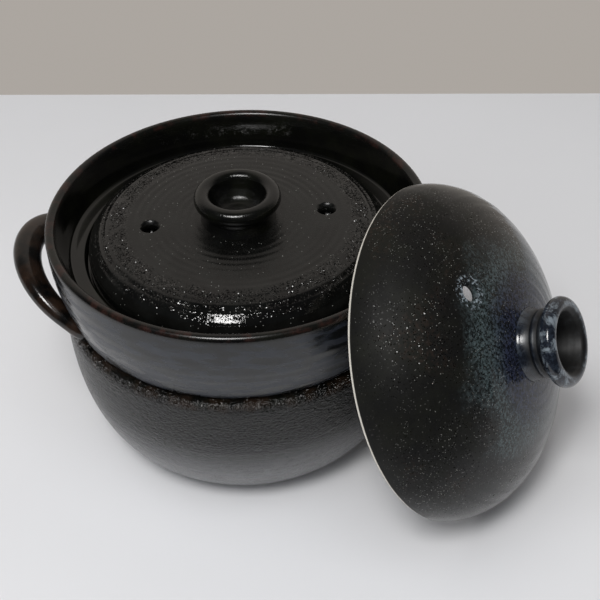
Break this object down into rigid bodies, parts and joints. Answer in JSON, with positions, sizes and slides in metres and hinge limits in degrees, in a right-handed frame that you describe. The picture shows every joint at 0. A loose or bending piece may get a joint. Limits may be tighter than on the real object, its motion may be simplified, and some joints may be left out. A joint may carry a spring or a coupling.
{
  "type": "double-lid rice pot",
  "caption": "Round glazed earthenware rice pot with two lug handles, a vented inner lid seated in its collar, and a domed outer lid with a ring knob leaning on its rim.",
  "frame": {"origin": "centre of the pot's flat foot, on the table's surface", "axes": "+Z is the pot's axis, upwards; the two lug handles lie along X; the outer lid leans on the rim towards +X and -Y"},
  "size_m": [0.3033, 0.2404, 0.1676],
  "materials": {
    "pot_glaze": "satin black glaze, brown at the lip",
    "handle_glaze": "satin brown-black glaze",
    "inner_lid_glaze": "satin iron glaze with fine light specks",
    "inner_knob_glaze": "satin black glaze",
    "outer_lid_glaze": "glossy black glaze with fine light specks",
    "outer_knob_glaze": "glossy slate-blue glaze"
  },
  "bodies": {
    "pot": {"pot_body": "pot_glaze", "left_handle": "handle_glaze", "right_handle": "handle_glaze"},
    "inner_lid": {"inner_lid": "inner_lid_glaze", "inner_lid_knob": "inner_knob_glaze"},
    "outer_lid": {"outer_lid": "outer_lid_glaze", "outer_lid_knob": "outer_knob_glaze"}
  },
  "joints": [
    {"name": "outer_lid_swing", "type": "hinge", "parent": "pot", "child": "outer_lid", "pos_m": [-0.03822, 0.01815, 0.05488], "axis": [-0.4289, -0.9033, 0], "range_deg": [0, 65.33]},
    {"name": "inner_lid_lift", "type": "slide", "parent": "pot", "child": "inner_lid", "axis": [-0.2032, 0.0965, 0.9744], "range_m": [0, 0.065]}
  ]
}
